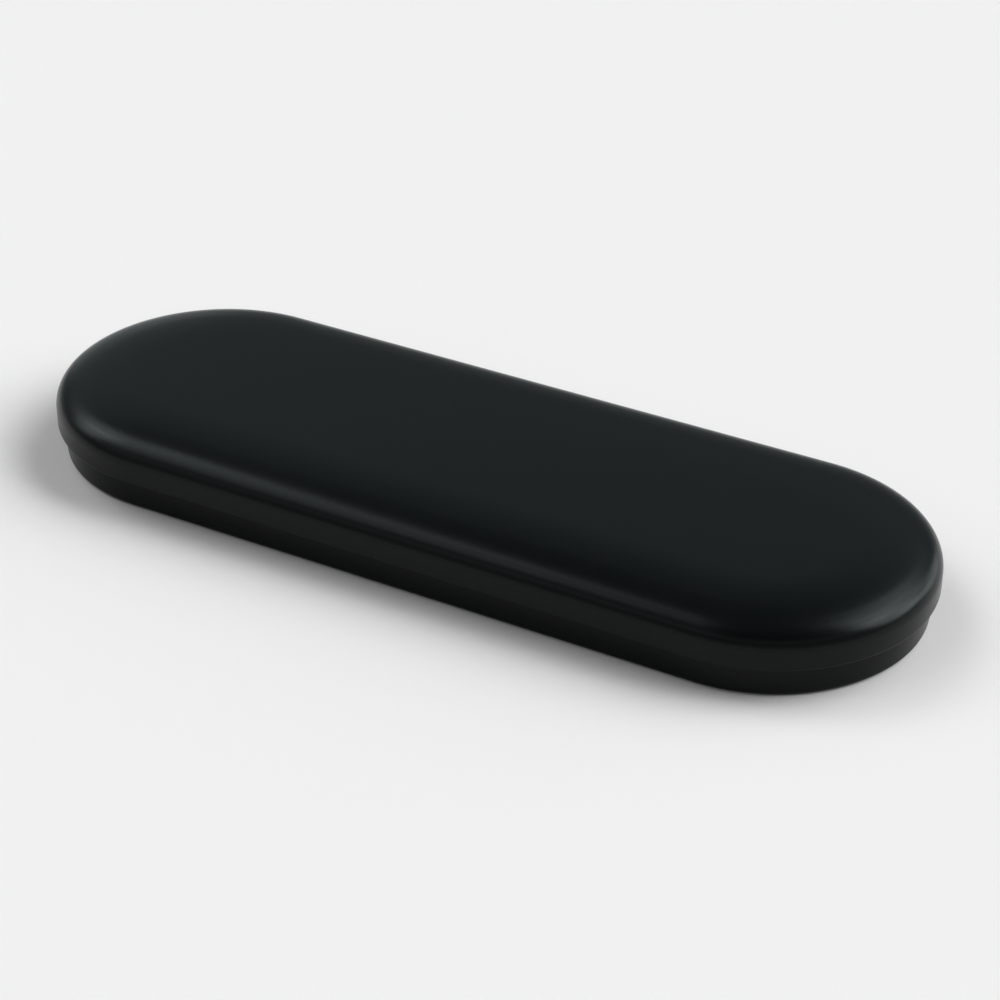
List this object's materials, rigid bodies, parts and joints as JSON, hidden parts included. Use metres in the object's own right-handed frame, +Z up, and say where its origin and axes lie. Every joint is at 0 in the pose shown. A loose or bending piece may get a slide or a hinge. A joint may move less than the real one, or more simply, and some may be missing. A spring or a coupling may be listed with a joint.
{
  "type": "tweezer case",
  "caption": "Slim round-ended black tin with a slip-over lid hinged at the back, lined with a foam insert that has long cavities for tweezers.",
  "frame": {"origin": "middle of the plane that the closed case rests on, half way along and across its round-ended outline", "axes": "+X along the case towards the cavities' tip ends, +Y towards the hinges at the back, +Z up"},
  "size_m": [0.172, 0.0614, 0.0142],
  "materials": {
    "base_lacquer": "satin",
    "lid_lacquer": "satin",
    "hinge_wire": "satin",
    "insert_foam": "matte",
    "pad_foam": "matte",
    "adhesive_film": "matte"
  },
  "bodies": {
    "base": {"base_shell": "base_lacquer", "hinge_pin_left": "hinge_wire", "hinge_pin_right": "hinge_wire", "tweezer_insert": "insert_foam", "insert_adhesive": "adhesive_film"},
    "lid": {"lid_shell": "lid_lacquer", "lid_pad": "pad_foam", "pad_adhesive": "adhesive_film"}
  },
  "joints": [
    {"name": "lid_hinge", "type": "hinge", "parent": "base", "child": "lid", "pos_m": [0, 0.03055, 0.0065], "axis": [-1, 0, 0], "range_deg": [0, 174]}
  ]
}
